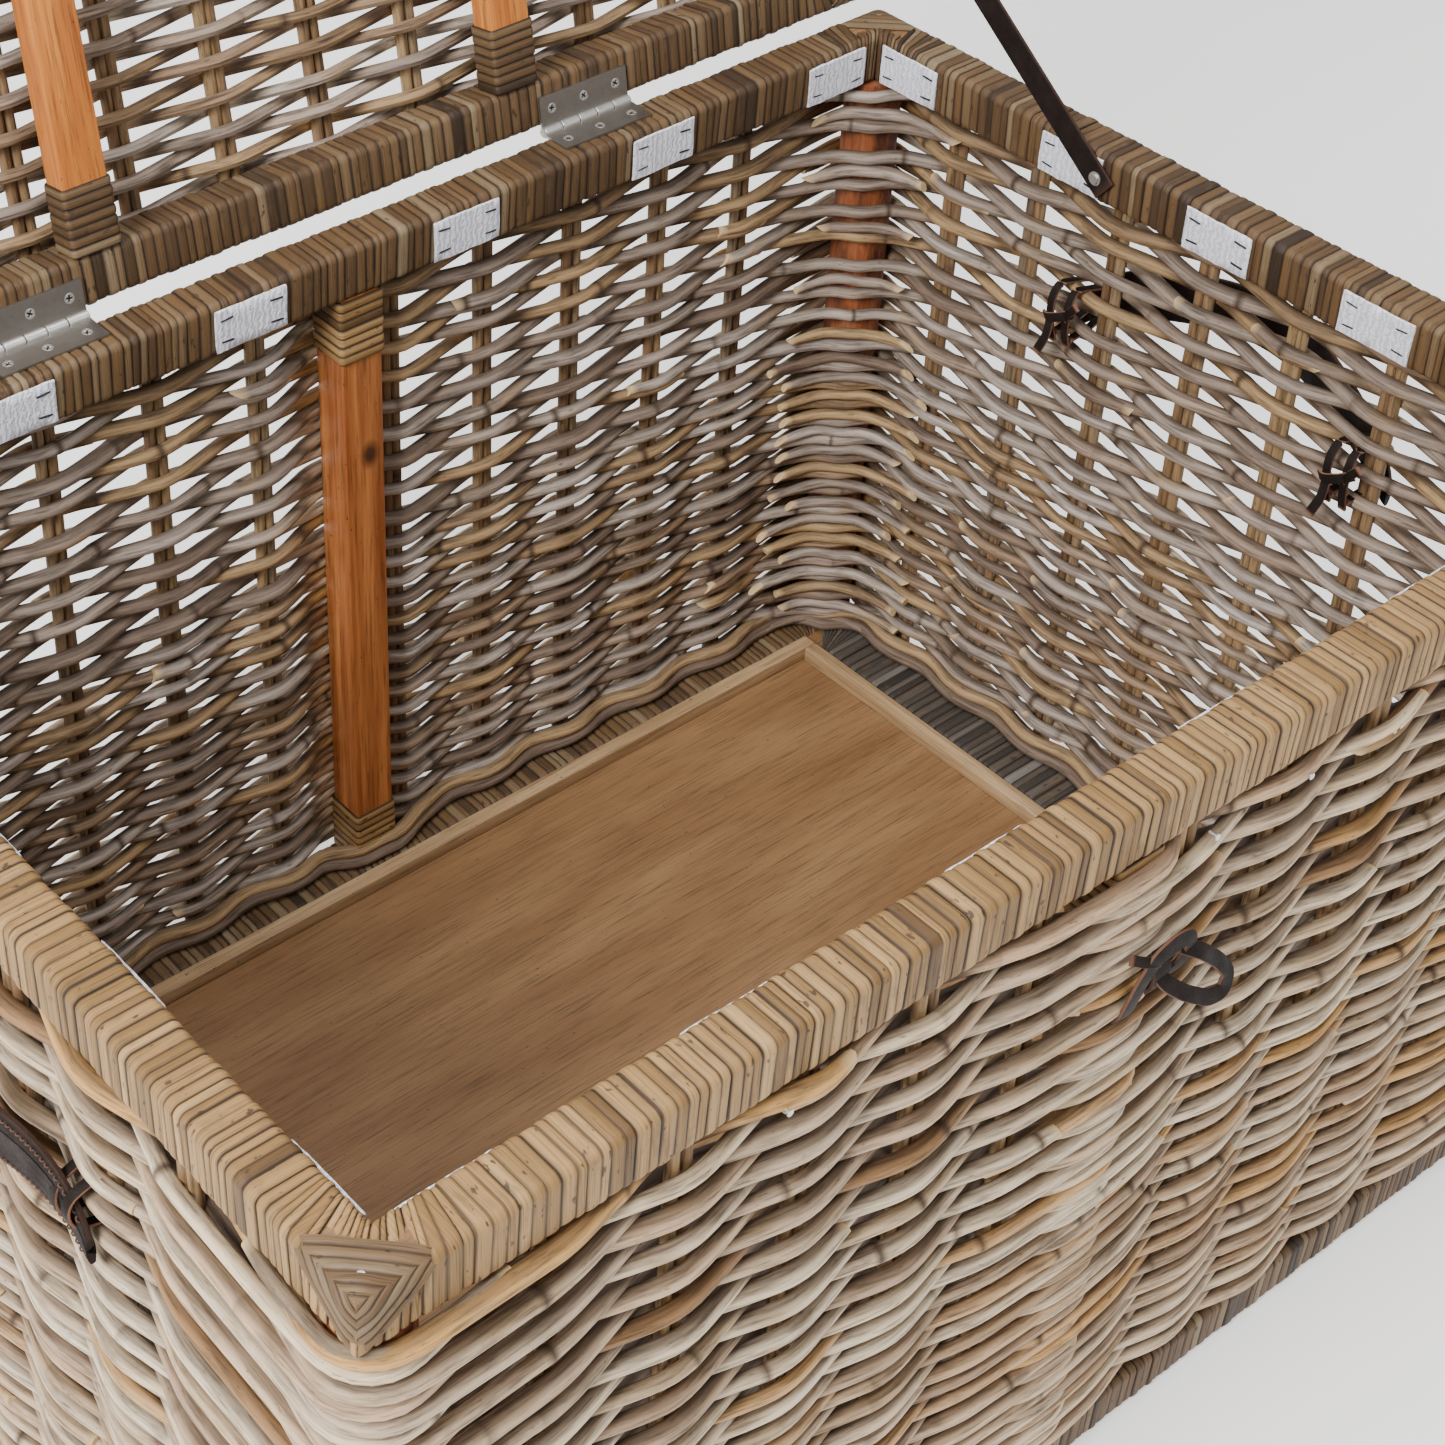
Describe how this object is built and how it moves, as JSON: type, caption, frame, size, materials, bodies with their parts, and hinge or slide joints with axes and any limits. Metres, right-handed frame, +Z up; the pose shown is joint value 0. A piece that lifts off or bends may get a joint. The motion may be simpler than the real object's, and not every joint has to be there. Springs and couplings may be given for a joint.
{
  "type": "storage trunk",
  "caption": "Wicker storage trunk with its lid open on stay straps: woven cane walls round corner posts, wrapped bars, plywood base, laced leather handles.",
  "frame": {"origin": "centre of the underside of the base, on the floor", "axes": "+X along the length, to the right as seen from the front; +Y to the hinged back; +Z up"},
  "size_m": [1.074, 0.9157, 1.264],
  "materials": {
    "bar_timber": "plain softwood bars, mostly inside the wrapping",
    "cane_wrap": "flat golden cane strip wound edge to edge, satin",
    "cane_wrap_aged": "weathered grey brown cane wrapping",
    "post_bark": "round reddish brown pole with its bark on",
    "timber_stained": "planed orange brown timber with visible grain",
    "weave_cane": "round cane rods, grey brown inside and creamier outside",
    "stake_cane": "tan standing rods",
    "plywood": "thin tan plywood with fine straight grain",
    "batten_pale": "pale square batten",
    "hinge_steel": "plain steel with light wear",
    "screw_steel": "bright steel, a little rust",
    "patch_fabric": "white hook tape",
    "staple_wire": "galvanised wire",
    "strap_leather": "very dark brown leather, square cut ends",
    "handle_leather": "dark brown leather",
    "thong_leather": "leather thong with tan cut edges"
  },
  "bodies": {
    "trunk": {"rim_bars": "bar_timber", "rim_wrap_front": "cane_wrap", "rim_wrap_back": "cane_wrap", "rim_wrap_left": "cane_wrap", "rim_wrap_right": "cane_wrap", "rim_corner_wraps": "cane_wrap", "base_bars": "bar_timber", "base_wrap_front": "cane_wrap", "base_wrap_back": "cane_wrap", "base_wrap_left": "cane_wrap_aged", "base_wrap_right": "cane_wrap_aged", "base_corner_wraps": "cane_wrap", "corner_post_front_left": "post_bark", "corner_post_front_right": "post_bark", "corner_post_back_left": "post_bark", "corner_post_back_right": "post_bark", "upright_front": "timber_stained", "upright_back": "timber_stained", "upright_wraps": "cane_wrap", "weave_front": "weave_cane", "weave_back": "weave_cane", "weave_left": "weave_cane", "weave_right": "weave_cane", "weave_corners": "weave_cane", "long_wall_stakes": "stake_cane", "end_wall_stakes": "stake_cane", "base_panel": "plywood", "base_battens": "batten_pale", "base_rails": "bar_timber", "hinge_body_leaf_left": "hinge_steel", "hinge_body_leaf_right": "hinge_steel", "hinge_pins": "hinge_steel", "hinge_body_screws": "screw_steel", "grip_patches": "patch_fabric", "patch_staples": "staple_wire", "stay_strap_left": "strap_leather", "stay_strap_right": "strap_leather", "stay_body_screws": "screw_steel", "handle_laces_left": "thong_leather", "handle_laces_right": "thong_leather", "closure_loops": "thong_leather", "nails": "screw_steel"},
    "lid": {"hinge_lid_leaf_left": "hinge_steel", "hinge_lid_leaf_right": "hinge_steel", "hinge_lid_screws": "screw_steel", "stay_lid_screws": "screw_steel", "lid_bars": "bar_timber", "lid_wrap_front": "cane_wrap", "lid_wrap_back": "cane_wrap", "lid_wrap_left": "cane_wrap", "lid_wrap_right": "cane_wrap", "lid_corner_wraps": "cane_wrap", "lid_strut_left": "timber_stained", "lid_strut_right": "timber_stained", "lid_strut_wraps": "cane_wrap", "lid_weave": "weave_cane", "lid_stakes": "stake_cane"},
    "handle_left": {"handle_left": "handle_leather"},
    "handle_right": {"handle_right": "handle_leather"}
  },
  "joints": [
    {"name": "lid_hinge", "type": "hinge", "parent": "trunk", "child": "lid", "pos_m": [0, 0.353, 0.572], "axis": [1, 0, 0], "range_deg": [0, 100], "deforming": ["stay_strap_left", "stay_strap_right"]},
    {"name": "handle_left_swing", "type": "hinge", "parent": "trunk", "child": "handle_left", "pos_m": [-0.502, 0, 0.393], "axis": [0, -1, 0], "range_deg": [0, 15], "deforming": ["handle_laces_left"]},
    {"name": "handle_right_swing", "type": "hinge", "parent": "trunk", "child": "handle_right", "pos_m": [0.502, 0, 0.393], "axis": [0, 1, 0], "range_deg": [0, 15], "deforming": ["handle_laces_right"]}
  ]
}
